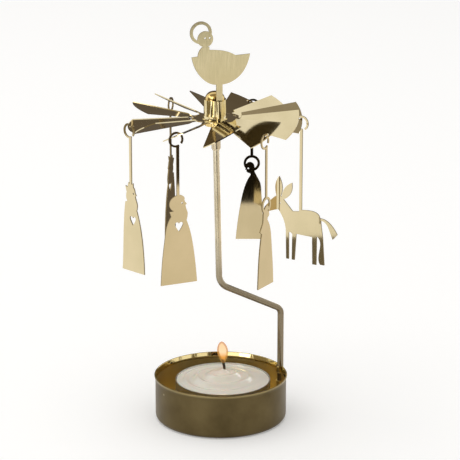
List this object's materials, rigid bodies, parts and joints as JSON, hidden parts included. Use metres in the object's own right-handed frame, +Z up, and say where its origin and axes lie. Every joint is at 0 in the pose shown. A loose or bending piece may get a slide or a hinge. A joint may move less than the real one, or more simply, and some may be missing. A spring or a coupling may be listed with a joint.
{
  "type": "angel chime carousel",
  "caption": "Sheet-brass candle carousel: a cup for a tea light, a bent wire stand with a needle, and a bladed rotor that carries swinging flat figures.",
  "frame": {"origin": "centre of the candle cup's flat underside, on the table", "axes": "+Z up along the cup's axis, +X towards the clip in the cup's wall that holds the wire stand, so the bent wire lies in the XZ plane"},
  "size_m": [0.0753, 0.0724, 0.1625],
  "materials": {
    "polished_brass": "polished",
    "satin_brass": "satin",
    "steel": "polished",
    "aluminium": "satin",
    "wax": "smooth wax",
    "cotton": "charred braid",
    "tin": "satin"
  },
  "bodies": {
    "stand": {"candle_cup": "satin_brass", "stand_wire": "satin_brass", "needle_ferrule": "satin_brass", "pivot_needle": "steel"},
    "rotor": {"bearing_cap": "polished_brass", "hub_collar": "polished_brass", "rotor_disc": "polished_brass", "cradle_plate": "polished_brass"},
    "crowned_king": {"crowned_king_plate": "polished_brass"},
    "tall_crown_king": {"tall_crown_king_plate": "polished_brass"},
    "turban_king": {"turban_king_plate": "polished_brass"},
    "praying_figure": {"praying_figure_plate": "polished_brass"},
    "walking_figure": {"walking_figure_plate": "polished_brass"},
    "donkey": {"donkey_plate": "polished_brass"},
    "tealight": {"tealight_cup": "aluminium", "tealight_wax": "wax", "tealight_wick": "cotton", "wick_sustainer": "tin"}
  },
  "joints": [
    {"name": "rotor_spin", "type": "hinge", "parent": "stand", "child": "rotor", "pos_m": [-0.0023, 0, 0.1335], "axis": [0, 0, 1], "continuous": true},
    {"name": "crowned_king_swing", "type": "hinge", "parent": "rotor", "child": "crowned_king", "pos_m": [-0.03401, 0.01002, 0.11895], "axis": [0.9205, 0.3907, 0], "range_deg": [-20, 20]},
    {"name": "tall_crown_king_swing", "type": "hinge", "parent": "rotor", "child": "tall_crown_king", "pos_m": [-0.00821, 0.03295, 0.12192], "axis": [-0.766, 0.6428, 0], "range_deg": [-20, 20]},
    {"name": "turban_king_swing", "type": "hinge", "parent": "rotor", "child": "turban_king", "pos_m": [-0.02714, -0.02299, 0.12254], "axis": [-0.0523, 0.9986, 0], "range_deg": [-20, 20]},
    {"name": "praying_figure_swing", "type": "hinge", "parent": "rotor", "child": "praying_figure", "pos_m": [0.02268, 0.02185, 0.12099], "axis": [0.3746, 0.9272, 0], "range_deg": [-20, 20]},
    {"name": "walking_figure_swing", "type": "hinge", "parent": "rotor", "child": "walking_figure", "pos_m": [0.00514, -0.0322, 0.12079], "axis": [-0.6157, 0.788, 0], "range_deg": [-20, 20]},
    {"name": "donkey_swing", "type": "hinge", "parent": "rotor", "child": "donkey", "pos_m": [0.02956, -0.01115, 0.1209], "axis": [0.8191, 0.5736, 0], "range_deg": [-20, 20]},
    {"name": "tealight_lift", "type": "slide", "parent": "stand", "child": "tealight", "axis": [0, 0, 1], "range_m": [0, 0.02]}
  ]
}
